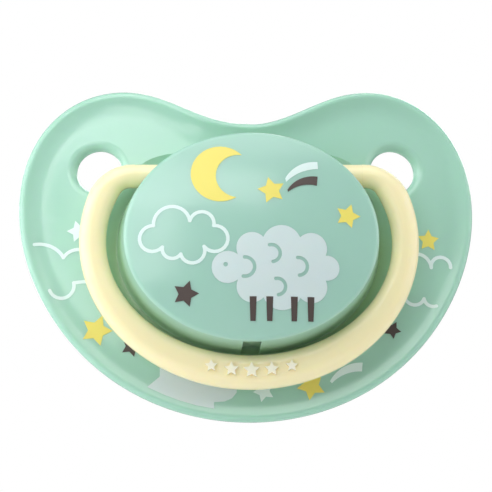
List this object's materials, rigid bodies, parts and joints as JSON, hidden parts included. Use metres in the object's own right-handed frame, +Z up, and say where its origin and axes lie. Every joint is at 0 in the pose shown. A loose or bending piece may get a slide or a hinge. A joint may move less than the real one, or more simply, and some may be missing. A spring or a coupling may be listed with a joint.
{
  "type": "pacifier",
  "caption": "Baby pacifier: bean-shaped vented shield, oval button cap, swinging ring handle and hollow silicone teat clamped by a plug.",
  "frame": {"origin": "on the teat's axis, level with the mouth-side face of the shield at its middle", "axes": "+X across the mouth, +Y along the teat into the mouth, +Z up to the nose notch; the ring handle hangs at the front, on -Y"},
  "size_m": [0.0522, 0.0379, 0.0389],
  "materials": {
    "shield_plastic": "satin moulded polypropylene, mint green",
    "cap_plastic": "satin moulded polypropylene, mint green with printed pictures",
    "ring_plastic": "satin moulded polypropylene, cream yellow",
    "teat_silicone": "clear matt silicone",
    "plug_plastic": "plain moulded polypropylene, white"
  },
  "bodies": {
    "pacifier": {"shield": "shield_plastic", "cap": "cap_plastic", "teat": "teat_silicone", "teat_plug": "plug_plastic"},
    "ring": {"ring_handle": "ring_plastic"}
  },
  "joints": [
    {"name": "ring_swing", "type": "hinge", "parent": "pacifier", "child": "ring", "pos_m": [0, -0.0025, 0.00825], "axis": [-1, 0, 0], "range_deg": [0, 165]}
  ]
}
